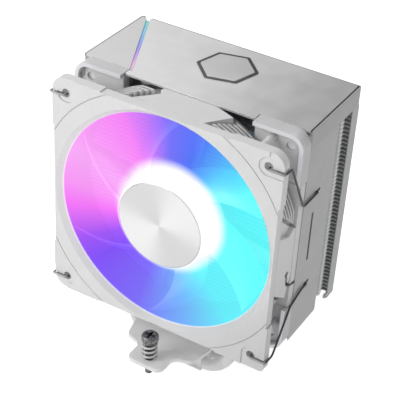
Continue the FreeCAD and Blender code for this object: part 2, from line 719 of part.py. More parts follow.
def retaining_clip(y):
    """Open ring in the groove under the crossbar; its mouth faces the tower's middle."""
    low, high = BASE_TOP - 0.68, BASE_TOP - 0.02
    mouth = 1.25
    ring = post(RETAINER_R, 0, y, low, high)
    ring = ring.cut(post(SCREW_NECK_R + SOLDER_GAP, 0, y, low, high))
    inward = y - math.copysign(RETAINER_R + 1, y)
    return ring.cut(box(-mouth, mouth, min(y, inward), max(y, inward), low, high))


def build_base():
    rooms = [pipe_room(index) for index in range(len(PIPE_BASE_Y))]
    for index in range(len(PIPE_BASE_Y)):
        export(f"heat_pipe_{index + 1}", heat_pipe(index))
    export("base_plate", base_plate(rooms))
    export("base_block", base_block(rooms))
    export("base_screws", *[base_screw(x, y) for x, y in BASE_SCREWS])
    export("crossbar", crossbar())
    export("crossbar_screws", *[bar_screw(x, y) for x, y in BAR_SCREWS])
    for name, y in (("front", -SCREW_Y), ("rear", SCREW_Y)):
        export(f"spring_screw_{name}", spring_screw(y))
        export(f"spring_{name}", spring(y))
        export(f"spring_washer_{name}", spring_washer(y))
        export(f"retaining_clip_{name}", retaining_clip(y))


# ---------------------------------------------------------------- fan clips

def fan_clip():
    """Wire clip on the right: hooked into the fan frame, hinged in the fins."""
    axis_x, axis_y = CLIP_AXIS
    high, low = leg_level(LEG_HIGH_FIN), leg_level(LEG_LOW_FIN)
    hook_x, tip_y, out = FAN_HOLE + 0.1, FAN_FRONT + 1.8, CLIP_SIDE_X
    points = [V(hook_x, tip_y, CLIP_TOP_Z), V(hook_x, CLIP_FACE_Y, CLIP_TOP_Z),
              V(out, CLIP_FACE_Y, CLIP_TOP_Z), V(out, -31.0, CLIP_TOP_Z - 0.4),
              V(out, -14.8, high), V(out, axis_y + 2.6, high), V(axis_x, axis_y, high),
              V(axis_x, axis_y, low), V(out, axis_y + 2.6, low), V(out, -5.5, low),
              V(out, -15.9, low - 3.2), V(out, -30.4, CLIP_LOW_Z - 0.5),
              V(out, CLIP_FACE_Y, CLIP_LOW_Z), V(hook_x, CLIP_FACE_Y, CLIP_LOW_Z),
              V(hook_x, tip_y, CLIP_LOW_Z)]
    rounds = [0, 0.8, 0.8, 2.0, 3.0, 0.8, 0.8, 0.8, 0.8, 3.0, 3.0, 3.0, 0.8, 0.8, 0]
    return rod(rounded_path(points, rounds), WIRE_R)


# ---------------------------------------------------------------- top cover

def along_strip(reach_front, reach_back, half_width):
    """Four-cornered outline along the light strip, lengthened at its ends."""
    ahead = (STRIP_FRONT_END - STRIP_BACK_END).normalize()
    side = V(-ahead.y, ahead.x, 0) * half_width
    front = STRIP_FRONT_END + ahead * reach_front
    back = STRIP_BACK_END - ahead * reach_back
    return rounded_path([front + side, back + side, back - side, front - side], 0, closed=True)


def groove_x(y):
    """X of the middle of the light strip at a given Y."""
    run = STRIP_BACK_END - STRIP_FRONT_END
    return STRIP_FRONT_END.x + (y - STRIP_FRONT_END.y) * run.x / run.y


def back_notch():
    """Small notch in the rear edge where the strip's wires leave."""
    return box(-58.2, -54.3, TOWER_BACK - 1.9, TOWER_BACK + 1, COVER_TOP - 2.4, COVER_TOP + 1)


def cover_shell():
    """Open-bottomed white cap that carries the top plates and the light strip."""
    floor = COVER_TOP - PLATE_SHEET
    outer = box(-TOWER_X, TOWER_X, TOWER_FRONT, TOWER_BACK, COVER_BOTTOM, COVER_TOP - 0.15)
    outer = outer.makeFillet(1.2, [e for e in outer.Edges
                                   if abs(e.tangentAt(e.FirstParameter).z) > 0.99])
    w = COVER_WALL
    hollow = box(-TOWER_X + w, TOWER_X - w, TOWER_FRONT + w, TOWER_BACK - w,
                 COVER_BOTTOM - 1, floor - w)
    lip = 0.6
    tray = box(-TOWER_X + lip, TOWER_X - lip, TOWER_FRONT - 1, TOWER_BACK - lip,
               floor, COVER_TOP + 1)
    strip_slot = prism(along_strip(0.3, 0.3, STRIP_WIDTH / 2 + 0.05), floor - 3, COVER_TOP)
    ribs = [box(x, x + 1.2, TOWER_FRONT + 1, TOWER_BACK - 1, floor - w - 1.6, floor - w + 0.5)
            for x in (-20.0, 0.0, 20.0)]
    front_window = box(-TONGUE_X + 1, TONGUE_X - 1, TOWER_FRONT - 1, TOWER_FRONT + w + 0.5,
                       COVER_BOTTOM + 1.2, floor - w)
    corner_gap = box(TOWER_X - 3, TOWER_X + 1, TOWER_FRONT - 1, TOWER_FRONT + 0.8,
                     COVER_TOP - 2.5, COVER_TOP)
    shell = outer.cut(hollow).cut(tray).cut(front_window).cut(corner_gap)
    return joined([shell] + ribs).cut(strip_slot).cut(back_notch())


def plate_edges(y_back, side):
    """X of the groove edge at the back and front of a top plate."""
    half = side * GROOVE_WIDTH / 2 * 1.1
    return groove_x(y_back) + half, groove_x(TOWER_FRONT) + half


def cover_plate():
    """Brushed metal plate with the tongue that bridges to the fan."""
    back, edge = TOWER_BACK - 0.9, PLATE_EDGE_X
    x_back, x_front = plate_edges(back, 1)
    outline = flat_outline([(x_back, back), (edge, back), (edge, TOWER_FRONT + 0.1),
                            (TONGUE_X, TOWER_FRONT + 0.1), (TONGUE_X, TONGUE_FRONT),
                            (-TONGUE_X, TONGUE_FRONT), (-TONGUE_X, TOWER_FRONT - 0.9),
                            (x_front + 0.3, TOWER_FRONT - 0.9)],
                           [0, 1.0, 0.5, 0, 0.8, 0.8, 0, 0])
    plate = prism(outline, COVER_TOP - PLATE_SHEET, COVER_TOP)
    return plate.cut(back_notch())


def cover_side_plate():
    """Narrow plate on the left of the light strip."""
    back, edge = TOWER_BACK - 0.9, TOWER_X - 0.9
    x_back, x_front = plate_edges(back, -1)
    outline = flat_outline([(-edge, back), (-edge, TOWER_FRONT + 0.1),
                            (x_front, TOWER_FRONT + 0.1), (x_back, back)], [1.0, 0.5, 0, 0])
    plate = prism(outline, COVER_TOP - PLATE_SHEET, COVER_TOP)
    return plate.cut(back_notch())


def strip_leds():
    """Row of light-emitting blocks under the light strip."""
    leds, count = [], 9
    run = STRIP_BACK_END - STRIP_FRONT_END
    turn = math.degrees(math.atan2(run.y, run.x))
    top = COVER_TOP - 3.3
    for k in range(count):
        centre = STRIP_FRONT_END + run * ((k + 0.5) / count)
        led = box(-1.0, 1.0, -0.8, 0.8, top - 0.7, top)
        led.rotate(V(0, 0, 0), V(0, 0, 1), turn)
        led.translate(centre)
        leds.append(led)
    return leds


def hexagon(radius):
    points = [BADGE_CENTRE + V(radius * math.cos(math.radians(60 * k + 15)),
                               radius * math.sin(math.radians(60 * k + 15)), 0)
              for k in range(6)]
    return rounded_path(points, 1.2, closed=True)


def badge_rim():
    """Dark six-sided rim of the plain badge."""
    rim = prism(hexagon(BADGE_R), COVER_TOP, COVER_TOP + 0.35)
    return rim.cut(prism(hexagon(BADGE_R - 1.6), COVER_TOP, COVER_TOP + 0.35))


def badge_face():
    """Bright plate inside the rim, with a bevelled edge."""
    face = prism(hexagon(BADGE_R - 1.7), COVER_TOP, COVER_TOP + 0.5)
    return face.makeChamfer(0.25, [e for e in face.Edges
                                   if e.BoundBox.ZMin > COVER_TOP + 0.5 - 1e-4])


def strip_cable():
    """Thin cable from the strip's board to the notch in the rear edge."""
    level = COVER_TOP - 5.6
    start = STRIP_BACK_END + V(2.0, -5.0, level)
    path = rounded_path([start, V(-55.6, 31.0, level), V(-56.2, 35.4, level)], 1.5)
    return rod(path, 0.6)


def build_cover():
    strip_low, strip_top = COVER_TOP - 3.2, COVER_TOP - 0.35
    board_top = COVER_TOP - 4.05
    export("cover_shell", cover_shell())
    export("cover_plate", cover_plate())
    export("cover_side_plate", cover_side_plate())
    export("light_strip", prism(along_strip(0, 0, STRIP_WIDTH / 2), strip_low, strip_top))
    export("strip_board", prism(along_strip(-3.5, -1.0, 2.2), board_top - 0.8, board_top))
    export("strip_leds", *strip_leds())
    export("strip_cable", strip_cable())
    export("badge_rim", badge_rim())
    export("badge_face", badge_face())


# ---------------------------------------------------------------- build

clip_right = fan_clip()
export("fan_clip_right", clip_right)
export("fan_clip_left", mirrored(clip_right))
export("fin_stack", *fin_stack())
build_base()
build_cover()
build_fan()
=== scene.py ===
import bpy
import json
import math
from mathutils import Matrix, Vector


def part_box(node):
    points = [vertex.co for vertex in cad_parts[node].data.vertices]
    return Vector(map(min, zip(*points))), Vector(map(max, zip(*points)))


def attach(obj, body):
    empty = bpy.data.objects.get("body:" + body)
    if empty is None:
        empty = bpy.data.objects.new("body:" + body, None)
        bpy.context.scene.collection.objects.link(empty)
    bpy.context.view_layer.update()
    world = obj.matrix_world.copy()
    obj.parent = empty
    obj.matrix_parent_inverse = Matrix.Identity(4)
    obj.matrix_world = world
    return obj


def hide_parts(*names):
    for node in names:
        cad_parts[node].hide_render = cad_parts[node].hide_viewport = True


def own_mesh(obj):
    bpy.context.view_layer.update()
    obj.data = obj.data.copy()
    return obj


# Looks of the tower cooler, in metres, in the same frame as the CAD parts:
# origin in the middle of the contact face, +Z up, +Y from the fan to the fins.

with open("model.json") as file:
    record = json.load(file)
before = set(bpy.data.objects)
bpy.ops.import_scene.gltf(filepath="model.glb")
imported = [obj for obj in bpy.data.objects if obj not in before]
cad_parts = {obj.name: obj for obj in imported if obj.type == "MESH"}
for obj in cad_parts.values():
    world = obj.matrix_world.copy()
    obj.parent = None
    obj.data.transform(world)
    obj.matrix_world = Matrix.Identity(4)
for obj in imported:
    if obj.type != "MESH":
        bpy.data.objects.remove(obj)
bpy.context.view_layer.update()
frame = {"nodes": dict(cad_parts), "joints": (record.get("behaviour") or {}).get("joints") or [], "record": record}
joints = {joint["name"]: joint for joint in frame["joints"]}

# Fan.
FAN_FRONT_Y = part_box("fan_frame")[0].y
FAN_Z = joints["fan_spin"]["pos_m"][2]
BLADE_PLANE_Y = FAN_FRONT_Y + 0.006
OPENING_R = 0.0563
MOUTH_R = 0.0588
MOUTH_BACK_Y = FAN_FRONT_Y + 0.00335
WIRE_FRONT_Y = FAN_FRONT_Y + 0.0004

# Fins, with the open bay that shows their folded edges on each side.
FIN_FRONT_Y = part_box("fin_stack")[0].y
FIN_HALF_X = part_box("fin_stack")[1].x
FIN_FOLD = 0.0023
FIN_LOWEST = 0.039
FIN_PITCH = 0.0022
BAY_FRONT_Y = FIN_FRONT_Y + 0.0285
BAY_BACK_Y = FIN_FRONT_Y + 0.0429
BAY_RIM = 0.00055
UNDER_COVER_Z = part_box("cover_shell")[0].z - 0.00025

# How far out the fan's light reaches on its barrel and cable, and on the fins behind it.
LIT_BARREL_R = 0.05665
LIT_FIN_R = 0.0578
# From where to where it fades in, along +Y on the barrel and along -Y on the others.
BARREL_FADE = (FAN_FRONT_Y + 0.0025, FAN_FRONT_Y + 0.0032)
CABLE_FADE = (FIN_FRONT_Y + 0.0015, FIN_FRONT_Y - 0.0005)
FIN_FADE = (FIN_FRONT_Y + 0.0125, FIN_FRONT_Y)

# White ring of light round the hub: its edge, how soft that is, and how much wider the
# ring is towards one angle.
HALO_R = 0.0265
HALO_BLUR = 0.0035
HALO_GROWTH = 0.0055
HALO_ANGLE = 55
# Where the bell mouth glows most.
MOUTH_GLOW_ANGLE = 165

# Turned hub cap: where its two wedges of painted reflection point, and how fine its circles are.
REFLECTION_WEDGE_ANGLE = 40
CIRCLES_PER_METRE = 5200
# Share of the emission that lights other pieces, and the white of the lights.
GLOW_ON_OTHERS = 0.2
GLOW_WHITE = (1.0, 0.98, 1.0, 1)

# Colours of the light round the fan, counter-clockwise from +X seen from the front.
FAN_GLOW = [(0, "66fdfe"), (35, "60f4fd"), (50, "56cdfe"), (60, "55a6fd"), (73, "5278fd"),
            (90, "7672fd"), (108, "d27cfb"), (120, "fa88fb"), (160, "fdaefc"), (180, "fd9cfc"),
            (192, "fc7dfe"), (212, "a75cfc"), (225, "8756fd"), (255, "8070fc"), (285, "77b8fd"),
            (310, "68f0fd"), (360, "66fdfe")]
# Colours along the strip in the top cover, from its rear end to its front end.
STRIP_GLOW = [(0.0, "2fd6d2"), (0.25, "38c4ee"), (0.45, "5b86f6"), (0.65, "9a78f2"),
              (0.85, "e79be9"), (1.0, "f3c9ea")]

# Springs of the screws.
SPRING_R = 0.0034
SPRING_WIRE_R = 0.0006
SPRING_TURNS = 3.5

# Pieces with rounded edges, and how wide the rounding is.
SOFTENED = {"corner_pads": 0.0004, "cover_shell": 0.0002, "cover_plate": 0.00015,
            "cover_side_plate": 0.00015, "crossbar": 0.0002}

# Floor: half its side, and how far below the object it lies.
FLOOR_HALF = 3.0
FLOOR_GAP = 0.0003

# Camera.
AZIMUTH = 28.98
ELEVATION = 34.508
ROLL = 3.659
TARGET = Vector((0.014015, -0.0255, 0.108556))
DISTANCE = 0.570128
LENS = 112.27


def linear(code):
    """Scene colour from a six-digit web colour."""
    parts = [int(code[k:k + 2], 16) / 255 for k in (0, 2, 4)]
    return tuple(p / 12.92 if p <= 0.04045 else ((p + 0.055) / 1.055) ** 2.4 for p in parts) + (1,)


def grey(level):
    return (level, level, level, 1)


# ---------------------------------------------------------------- material tools

class Shader:
    """A node material under construction."""

    def __init__(self, name):
        self.material = bpy.data.materials.new(name)
        self.material.use_nodes = True
        self.tree = self.material.node_tree
        self.bsdf = self.tree.nodes["Principled BSDF"]

    def set(self, socket, value):
        """Link a socket to another node, or give it a fixed value."""
        if isinstance(value, bpy.types.NodeSocket):
            self.tree.links.new(value, socket)
        else:
            socket.default_value = value

    def surface(self, **values):
        for key, value in values.items():
            self.set(self.bsdf.inputs[key.replace("_", " ")], value)

    def so_far(self, name):
        """Socket that drives one of the surface's inputs at this point."""
        return self.bsdf.inputs[name].links[0].from_socket

    def node(self, kind, **settings):
        made = self.tree.nodes.new("ShaderNode" + kind)
        for key, value in settings.items():
            setattr(made, key, value)
        return made

    def place(self, stretch=(1, 1, 1), turn=(0, 0, 0)):
        """Coordinates that stay with the piece, stretched along its axes."""
        mapping = self.node("Mapping")
        self.set(mapping.inputs["Vector"], self.node("TexCoord").outputs["Object"])
        self.set(mapping.inputs["Scale"], stretch)
        self.set(mapping.inputs["Rotation"], turn)
        return mapping.outputs["Vector"]

    def noise(self, scale, detail=3.0, place=None):
        made = self.node("TexNoise")
        self.set(made.inputs["Vector"], place or self.place())
        self.set(made.inputs["Scale"], scale)
        self.set(made.inputs["Detail"], detail)
        return made.outputs["Fac"]

    def math(self, operation, a, b=0.0):
        made = self.node("Math", operation=operation)
        self.set(made.inputs[0], a)
        self.set(made.inputs[1], b)
        return made.outputs[0]

    def remap(self, value, low, high, to_low=0.0, to_high=1.0):
        made = self.node("MapRange", interpolation_type="SMOOTHSTEP")
        for socket, number in zip(made.inputs, (value, low, high, to_low, to_high)):
            self.set(socket, number)
        return made.outputs["Result"]

    def mix(self, share, a, b, blend="MIX"):
        made = self.node("Mix", data_type="RGBA", blend_type=blend)
        self.set(made.inputs["Factor"], share)
        self.set(made.inputs[6], a)
        self.set(made.inputs[7], b)
        return made.outputs[2]

    def ramp(self, value, stops):
        """Colour ramp from (position, colour) pairs."""
        made = self.node("ValToRGB")
        points = made.color_ramp.elements
        while len(points) < len(stops):
            points.new(0.5)
        for point, (position, colour) in zip(points, stops):
            point.position = position
            point.color = colour
        self.set(made.inputs["Fac"], value)
        return made.outputs["Color"]

    def bump(self, height, depth, normal=None):
        made = self.node("Bump")
        self.set(made.inputs["Height"], height)
        self.set(made.inputs["Distance"], depth)
        self.set(made.inputs["Strength"], 1.0)
        if normal:
            self.set(made.inputs["Normal"], normal)
        return made.outputs["Normal"]

    def round_edges(self, radius):
        made = self.node("Bevel", samples=4)
        self.set(made.inputs["Radius"], radius)
        return made.outputs["Normal"]

    def edge_share(self, radius):
        """1 on sharp edges and 0 on flat places."""
        dot = self.node("VectorMath", operation="DOT_PRODUCT")
        self.set(dot.inputs[0], self.round_edges(radius))
        self.set(dot.inputs[1], self.node("NewGeometry").outputs["True Normal"])
        return self.remap(dot.outputs["Value"], 0.98, 0.75)

    def crevice(self, reach, samples=4):
        """1 in the open and 0 deep in a corner or under an overhang."""
        made = self.node("AmbientOcclusion", samples=samples)
        self.set(made.inputs["Distance"], reach)
        return made.outputs["AO"]

    def split(self, vector):
        made = self.node("SeparateXYZ")
        self.set(made.inputs[0], vector)
        return made.outputs["X"], made.outputs["Y"], made.outputs["Z"]

    def position(self):
        return self.node("NewGeometry").outputs["Position"]

    def blade_crossing(self):
        """Place where the line of sight through this point meets the plane of the blades."""
        toward = self.node("NewGeometry").outputs["Incoming"]
        slope = self.split(toward)[1]
        gap = self.math("SUBTRACT", BLADE_PLANE_Y, self.split(self.position())[1])
        square = self.math("ADD", self.math("MULTIPLY", slope, slope), 0.02)
        shift = self.node("VectorMath", operation="SCALE")
        self.set(shift.inputs[0], toward)
        self.set(shift.inputs["Scale"],
                 self.math("DIVIDE", self.math("MULTIPLY", gap, slope), square))
        place = self.node("VectorMath", operation="ADD")
        self.set(place.inputs[0], self.position())
        self.set(place.inputs[1], shift.outputs[0])
        return place.outputs[0]

    def fan_polar(self, place):
        """Angle round the fan from +X as 0 to 1, and radius, of a place in the room."""
        x, _, z = self.split(place)
        up = self.math("SUBTRACT", z, FAN_Z)
        angle = self.math("ARCTAN2", up, x)
        turns = self.math("FRACT", self.math("ADD", self.math("DIVIDE", angle, 2 * math.pi), 1.0))
        squares = self.math("ADD", self.math("MULTIPLY", x, x), self.math("MULTIPLY", up, up))
        return turns, self.math("SQRT", squares)

    def below(self, value, edge, blur):
        """1 under the edge and 0 over it, with a smooth step twice the blur wide."""
        return self.remap(value, edge + blur, edge - blur)

    def above(self, value, edge, blur):
        """0 under the edge and 1 over it, with a smooth step twice the blur wide."""
        return self.remap(value, edge - blur, edge + blur)

    def toward_angle(self, turns, degrees):
        """1 at one angle round the fan, falling to 0 a quarter turn away and beyond."""
        apart = self.math("MULTIPLY", self.math("SUBTRACT", turns, degrees / 360), 2 * math.pi)
        return self.math("MAXIMUM", self.math("COSINE", apart), 0.0)

    def for_camera(self, others):
        """1 for what the camera sees directly and the given share for all other rays."""
        seen = self.node("LightPath").outputs["Is Camera Ray"]
        return self.remap(seen, 0.0, 1.0, others, 1.0)


def coated(name, colour, rough, metal=0.0, drift=0.04, grain=2600, depth=0.00001,
           edge=0.0003, edge_gain=0.12, rough_drift=0.06, stretch=(1, 1, 1), spread=70,
           shade=0.0, shade_reach=0.012):
    """Painted, moulded or brushed surface: colour and gloss drift, fine grain, a painted highlight on sharp edges,
    painted shade in crevices.
    """
    s = Shader(name)
    place = s.place(stretch)
    clouds = s.noise(spread, 4.0, s.place())
    fine = s.noise(grain, 2.0, place)
    low = tuple(c * (1 - drift) for c in colour[:3]) + (1,)
    high = tuple(min(1, c * (1 + drift)) for c in colour[:3]) + (1,)
    base = s.mix(s.remap(clouds, 0.35, 0.65), low, high)
    base = s.mix(s.math("MULTIPLY", s.remap(fine, 0.4, 0.9), drift), base, grey(0.05))
    # Painted highlight: sharp edges painted lighter, by edge_gain.
    lit = tuple(min(1, c * (1 + 2 * edge_gain) + edge_gain * 0.2) for c in colour[:3]) + (1,)
    base = s.mix(s.math("MULTIPLY", s.edge_share(edge), 0.7), base, lit)
    # Painted shade: darker in corners, gaps and under overhangs, by the share given as shade.
    if shade:
        painted_crevice_shade = s.remap(s.crevice(shade_reach), 0.75, 0.15, 0.0, shade)
        base = s.mix(painted_crevice_shade, base, grey(0.03))
    s.surface(Base_Color=base, Metallic=metal, Normal=s.bump(fine, depth, s.round_edges(edge)),
              Roughness=s.remap(clouds, 0.3, 0.7, rough - rough_drift, rough + rough_drift))
    return s


# ---------------------------------------------------------------- materials

def frame_plastic():
    """White moulded plastic, lit inside the round opening, with painted shade in its crevices and towards the
    lower right.
    """
    s = coated("frame_plastic", (0.78, 0.78, 0.78, 1), 0.42, depth=0.000008, drift=0.015,
               shade=0.3, shade_reach=0.004)
    x, _, z = s.split(s.position())
    # Painted shade: darker towards the lower right, away from the key light.
    down_right = s.math("SUBTRACT", x, s.math("SUBTRACT", z, FAN_Z))
    painted_shade = s.remap(down_right, 0.05, 0.11, 0.0, 0.18)
    s.surface(Base_Color=s.mix(painted_shade, s.so_far("Base Color"), grey(0.05)))
    _, radius = s.fan_polar(s.position())
    light_inside_fan(s, s.below(radius, LIT_BARREL_R, 0.00035), BARREL_FADE, 0.9)
    mouth_glow(s)
    return s


def add_light(s, mask, strength, colour):
    """Light of one colour where the mask is 1, on top of what the piece gives already."""
    more = s.math("MULTIPLY", s.math("MULTIPLY", mask, strength), s.for_camera(GLOW_ON_OTHERS))
    s.surface(Emission_Color=s.mix(mask, s.so_far("Emission Color"), colour),
              Emission_Strength=s.math("ADD", s.so_far("Emission Strength"), more))


def mouth_glow(s):
    """Faint white light on the left of the bell mouth and all round where it meets the barrel."""
    turns, radius = s.fan_polar(s.position())
    depth = s.split(s.position())[1]
    mouth = s.math("MULTIPLY", s.below(radius, MOUTH_R, 0.0002), s.above(radius, OPENING_R, 0.0001))
    mouth = s.math("MULTIPLY", mouth, s.below(depth, MOUTH_BACK_Y, 0.00015))
    strength = s.math("ADD", s.math("MULTIPLY", s.toward_angle(turns, MOUTH_GLOW_ANGLE), 0.2),
                      s.remap(radius, OPENING_R + 0.0005, OPENING_R + 0.0001, 0.02, 0.16))
    add_light(s, mouth, strength, GLOW_WHITE)


def own_light(s, strength, colour=None):
    """Faint light of a piece's own colour, for what the pale floor and milky plastic bring back."""
    s.surface(Emission_Color=colour or s.so_far("Base Color"),
              Emission_Strength=s.math("MULTIPLY", strength, s.for_camera(0.3)))
    return s


def pad_silicone():
    """Milky silicone with painted lilac light on the faces that look forwards."""
    s = coated("pad_silicone", (0.66, 0.66, 0.67, 1), 0.55, drift=0.04, depth=0.00002)
    s.surface(Subsurface_Weight=0.25, Subsurface_Scale=0.002, Subsurface_Radius=(1, 1, 1))
    # Painted light: faces that look forwards get a faint lilac glow.
    forwards = s.math("MULTIPLY", s.split(s.node("NewGeometry").outputs["Normal"])[1], -1.0)
    return own_light(s, s.math("MULTIPLY", s.math("MAXIMUM", forwards, 0.0), 0.22),
                     (0.93, 0.90, 1.0, 1))


def fan_glow_colour(s):
    """Colour of the fan's light: white at the hub, then a sweep of colours."""
    turns, radius = s.fan_polar(s.blade_crossing())
    ring = s.ramp(turns, [(a / 360, linear(c)) for a, c in FAN_GLOW])
    wider = s.math("MULTIPLY", s.toward_angle(turns, HALO_ANGLE), HALO_GROWTH)
    inward = s.math("SUBTRACT", s.math("ADD", wider, HALO_R), radius)
    return s.mix(s.remap(inward, -HALO_BLUR, HALO_BLUR), ring, GLOW_WHITE)


def light_inside_fan(s, round_mask, fade, strength):
    """Paint the fan's coloured light into what lies inside the fan's round opening and make it glow, fading in
    between two depths.
    """
    colour = fan_glow_colour(s)
    depth = s.split(s.position())[1]
    inside = s.math("MULTIPLY", round_mask, s.remap(depth, *fade))
    # Painted light: the colour takes on the fan's light.
    painted_light_tint = s.mix(1.0, grey(0.12), colour, "MULTIPLY")
    glow = s.math("MULTIPLY", s.math("MULTIPLY", inside, strength), s.for_camera(GLOW_ON_OTHERS))
    s.surface(Base_Color=s.mix(inside, s.so_far("Base Color"), painted_light_tint), Emission_Color=colour,
              Emission_Strength=glow)


def glow_plastic():
    """Milky impeller lit from its hub."""
    s = Shader("glow_plastic")
    colour = fan_glow_colour(s)
    facing = s.node("LayerWeight")
    s.set(facing.inputs["Blend"], 0.35)
    shade = s.remap(facing.outputs["Facing"], 0.1, 0.95, 1.03, 0.86)
    clouds = s.remap(s.noise(90, 3.0), 0.3, 0.7, 0.97, 1.02)
    strength = s.math("MULTIPLY", s.math("MULTIPLY", shade, clouds), s.for_camera(GLOW_ON_OTHERS))
    s.surface(Base_Color=s.mix(1.0, grey(0.12), colour, "MULTIPLY"), Roughness=0.32,
              Emission_Color=colour, Emission_Strength=strength,
              Normal=s.bump(s.noise(1800, 2.0), 0.000006, s.round_edges(0.0003)))
    return s


def spun_metal():
    """Turned cap: fine circles, two opposite wedges of painted reflection that stay in the room, and a faint
    painted glow.
    """
    s = Shader("spun_metal")
    turns, radius = s.fan_polar(s.position())
    apart = s.math("SUBTRACT", turns, REFLECTION_WEDGE_ANGLE / 360)
    # Painted reflection: two bright wedges opposite each other.
    reflection_wave = s.math("COSINE", s.math("MULTIPLY", apart, 4 * math.pi))
    circles = s.node("CombineXYZ")
    s.set(circles.inputs[0], s.math("MULTIPLY", radius, CIRCLES_PER_METRE))
    rings = s.noise(1.0, 2.0, circles.outputs[0])
    base = s.mix(s.remap(reflection_wave, -1.0, 1.0), grey(0.66), grey(0.84))
    base = s.mix(s.remap(rings, 0.3, 0.7, 0.0, 0.12), base, grey(0.55))
    # Painted light: a faint glow of the cap's own colour.
    s.surface(Base_Color=base, Metallic=0.6, Emission_Color=base, Emission_Strength=0.12,
              Roughness=s.remap(rings, 0.3, 0.7, 0.28, 0.4),
              Normal=s.bump(rings, 0.00001, s.round_edges(0.0004)))
    return s


def cup_steel():
    return coated("cup_steel", (0.42, 0.42, 0.43, 1), 0.38, metal=1.0, stretch=(1, 12, 1))


def magnet():
    return coated("magnet", (0.035, 0.034, 0.034, 1), 0.7, drift=0.2, grain=1800)


def shaft_steel():
    return coated("shaft_steel", (0.6, 0.6, 0.6, 1), 0.2, metal=1.0, stretch=(1, 9, 1))


def bush_brass():
    return coated("bush_brass", (0.62, 0.45, 0.2, 1), 0.35, metal=1.0, drift=0.1)


def core_steel():
    return coated("core_steel", (0.33, 0.33, 0.34, 1), 0.45, metal=0.9, drift=0.1)


def winding():
    return coated("winding", (0.42, 0.13, 0.04, 1), 0.35, metal=0.7, drift=0.25, grain=900,
                  stretch=(1, 6, 1), depth=0.00006)


def board():
    return coated("board", (0.62, 0.63, 0.62, 1), 0.4, drift=0.08, spread=260)


def led():
    s = coated("led", (0.85, 0.83, 0.7, 1), 0.3, drift=0.05)
    s.surface(Emission_Color=(1.0, 0.97, 0.9, 1), Emission_Strength=0.6)
    return s


def label_foil():
    return coated("label_foil", (0.62, 0.63, 0.64, 1), 0.42, metal=0.8, stretch=(1, 1, 14),
                  grain=700)


def cable_sleeve():
    """Braided dark sleeve, lit where it crosses the fan's opening."""
    s = coated("cable_sleeve", (0.05, 0.05, 0.05, 1), 0.6, drift=0.1, grain=1500, depth=0.00008)
    _, radius = s.fan_polar(s.position())
    light_inside_fan(s, s.below(radius, LIT_BARREL_R, 0.00035), CABLE_FADE, 0.85)
    return s


def coated_fin():
    """Thin white-coated sheet with faint streaks from the press, lit where it shows in the fan."""
    s = coated("coated_fin", (0.50, 0.50, 0.505, 1), 0.40, metal=0.25, drift=0.05,
               grain=700, stretch=(1, 1, 0.2), edge=0.0001, edge_gain=0.08)
    _, radius = s.fan_polar(s.blade_crossing())
    x, _, z = s.split(s.position())
    lit = s.math("MULTIPLY", s.below(radius, LIT_FIN_R, 0.0004),
                 s.below(s.math("ABSOLUTE", x), FIN_HALF_X - FIN_FOLD, 0.0005))
    lit = s.math("MULTIPLY", lit, s.below(z, UNDER_COVER_Z, 0.0001))
    light_inside_fan(s, lit, FIN_FADE, 0.97)
    bay_ribs(s)
    return s


def bay_ribs(s):
    """Light from the room on the folded edges inside the open bays, with a dark line per fin."""
    x, y, z = s.split(s.position())
    deep = s.below(s.math("ABSOLUTE", x), FIN_HALF_X - BAY_RIM, 0.00025)
    between = s.math("MULTIPLY", s.above(y, BAY_FRONT_Y, 0.0002), s.below(y, BAY_BACK_Y, 0.0002))
    step = s.math("FRACT", s.math("DIVIDE", s.math("SUBTRACT", z, FIN_LOWEST), FIN_PITCH))
    rib = s.remap(s.math("ABSOLUTE", s.math("SUBTRACT", step, 0.5)), 0.5, 0.2, 0.06, 0.28)
    add_light(s, s.math("MULTIPLY", deep, between), rib, grey(1.0))


def coated_pipe():
    return own_light(coated("coated_pipe", (0.78, 0.78, 0.78, 1), 0.3, drift=0.05, spread=120), 0.10)


def contact_plate():
    return coated("contact_plate", (0.72, 0.72, 0.72, 1), 0.35, metal=0.6, drift=0.05,
                  grain=900, stretch=(1, 24, 1), depth=0.000006)


def block_paint():
    return own_light(coated("block_paint", (0.78, 0.78, 0.78, 1), 0.42, drift=0.05, grain=1600,
                            depth=0.00002), 0.10)


def bar_paint():
    return own_light(coated("bar_paint", (0.77, 0.77, 0.77, 1), 0.4, drift=0.05, grain=1500,
                            depth=0.00002, edge_gain=0.2), 0.10)


def dark_steel():
    # Strong painted shade in gaps and corners, and a painted highlight on sharp edges.
    return coated("dark_steel", (0.24, 0.24, 0.24, 1), 0.42, metal=0.6, drift=0.5,
                  grain=1200, spread=900, edge=0.0002, edge_gain=0.6, shade=0.97,
                  shade_reach=0.005)


def spring_steel():
    return coated("spring_steel", (0.66, 0.66, 0.66, 1), 0.35, metal=0.35, drift=0.1,
                  grain=1400, edge=0.0001)


def clip_wire():
    """Dark wire, painted lighter as painted light where it lies in the slots on the fan's front."""
    s = coated("clip_wire", (0.10, 0.10, 0.105, 1), 0.35, metal=0.6, drift=0.15, grain=1400,
               edge=0.0001)
    depth = s.split(s.node("TexCoord").outputs["Object"])[1]
    # Painted light: lighter where the wire lies on the lit front of the fan.
    painted_lit_front = s.below(depth, WIRE_FRONT_Y, 0.00035)
    s.surface(Base_Color=s.mix(painted_lit_front, s.so_far("Base Color"), grey(0.36)))
    return s


def shell_plastic():
    # Strong painted shade in its hollows and corners.
    return coated("shell_plastic", (0.46, 0.46, 0.46, 1), 0.4, drift=0.02, depth=0.000008,
                  shade=0.85, shade_reach=0.014)


